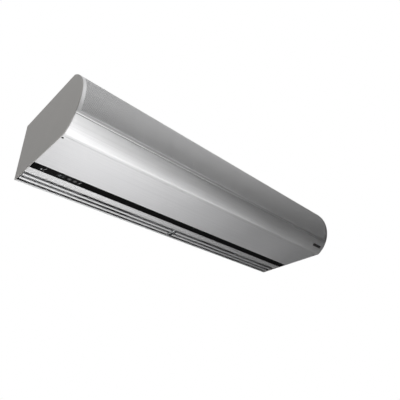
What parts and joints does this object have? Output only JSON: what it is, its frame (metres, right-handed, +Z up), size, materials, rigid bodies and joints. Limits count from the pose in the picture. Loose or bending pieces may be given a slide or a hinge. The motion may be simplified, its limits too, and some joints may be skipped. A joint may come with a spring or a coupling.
{
  "type": "air curtain",
  "caption": "Wall-mounted air curtain with a curved perforated intake grille, twin blowers, control strip and an adjustable two-vane discharge nozzle.",
  "frame": {"origin": "centre of the four wall bolts, on the wall plane at mid-height and mid-length", "axes": "+X along the length, away from the control end; +Y into the wall; +Z up"},
  "size_m": [1.22, 0.365, 0.209],
  "materials": {
    "galvanised_sheet": "zinc-coated steel sheet",
    "zinc_fastener": "zinc-plated steel",
    "dark_fastener": "blackened steel",
    "cap_aluminium": "satin anodised sheet",
    "grille_aluminium": "satin anodised, perforated",
    "panel_aluminium": "brushed and anodised along its length",
    "service_aluminium": "brushed and anodised along its length",
    "rail_aluminium": "satin anodised extrusion",
    "vane_aluminium": "satin anodised extrusion",
    "filter_frame_aluminium": "mill finish",
    "filter_mesh_steel": "fine expanded mesh",
    "black_plate": "gloss",
    "black_strip": "semi-gloss black",
    "keypad_film": "satin film",
    "smoked_window": "gloss smoked",
    "lamp_lens": "frosted",
    "button_plastic": "satin",
    "black_plastic": "moulded",
    "circuit_board": "lacquered",
    "steel_pin": "drawn",
    "wheel_steel": "zinc-coated pressed steel",
    "ground_steel": "ground",
    "motor_paint": "satin dark grey",
    "stator_iron": "varnished laminations",
    "black_rubber": "moulded",
    "cream_plastic": "moulded",
    "capacitor_can": "drawn can"
  },
  "bodies": {
    "root": {"chassis": "galvanised_sheet", "end_cap_left": "cap_aluminium", "end_cap_right": "cap_aluminium", "casing_screws": "zinc_fastener", "stiffener_brackets": "galvanised_sheet", "suspension_nuts": "zinc_fastener", "grille_hinge_pins": "steel_pin", "lower_front_panel": "panel_aluminium", "bottom_panel": "service_aluminium", "bottom_screws": "dark_fastener", "badge_plate": "black_plate", "control_strip": "black_strip", "keypad_plate": "keypad_film", "display_window": "smoked_window", "indicator_lens": "lamp_lens", "button_switches": "black_plastic", "control_board": "circuit_board", "board_standoffs": "zinc_fastener", "nozzle_rail_front": "rail_aluminium", "nozzle_rail_rear": "rail_aluminium", "vane_end_brackets": "black_plastic", "vane_centre_bracket": "galvanised_sheet", "blower_deck": "galvanised_sheet", "blower_housing_left": "galvanised_sheet", "blower_housing_right": "galvanised_sheet", "motor_shell": "motor_paint", "motor_stator": "stator_iron", "motor_end_bells": "motor_paint", "motor_bearings": "ground_steel", "motor_mount_rings": "black_rubber", "motor_cradle": "galvanised_sheet", "outboard_bearings": "ground_steel", "bearing_brackets": "galvanised_sheet", "terminal_box": "galvanised_sheet", "terminal_box_lid": "galvanised_sheet", "terminal_block": "cream_plastic", "cable_grommet": "black_rubber", "run_capacitor": "capacitor_can", "capacitor_clamp": "zinc_fastener"},
    "grille": {"intake_grille": "grille_aluminium", "filter_frame": "filter_frame_aluminium", "filter_mesh": "filter_mesh_steel"},
    "front_vane": {"vane_front": "vane_aluminium", "vane_pins_front": "steel_pin"},
    "rear_vane": {"vane_rear": "vane_aluminium", "vane_pins_rear": "steel_pin"},
    "up_button": {"button_up": "button_plastic"},
    "down_button": {"button_down": "button_plastic"},
    "rotor": {"fan_shaft": "ground_steel", "blower_wheel_left": "wheel_steel", "blower_wheel_right": "wheel_steel", "wheel_set_screws": "dark_fastener", "motor_rotor": "stator_iron"}
  },
  "joints": [
    {"name": "fan_spin", "type": "hinge", "parent": "root", "child": "rotor", "pos_m": [0, -0.13, -0.002], "axis": [1, 0, 0], "continuous": true},
    {"name": "front_vane_tilt", "type": "hinge", "parent": "root", "child": "front_vane", "pos_m": [0, -0.042, -0.084], "axis": [1, 0, 0], "range_deg": [-20, 20]},
    {"name": "rear_vane_tilt", "type": "hinge", "parent": "root", "child": "rear_vane", "pos_m": [0, -0.019, -0.084], "axis": [1, 0, 0], "range_deg": [-20, 20]},
    {"name": "grille_swing", "type": "hinge", "parent": "root", "child": "grille", "pos_m": [0, -0.30216, 0.1015], "axis": [-1, 0, 0], "range_deg": [0, 65]},
    {"name": "up_button_press", "type": "slide", "parent": "root", "child": "up_button", "axis": [0, 0, 1], "range_m": [0, 0.001], "stiffness_N_per_m": 800},
    {"name": "down_button_press", "type": "slide", "parent": "root", "child": "down_button", "axis": [0, 0, 1], "range_m": [0, 0.001], "stiffness_N_per_m": 800}
  ]
}
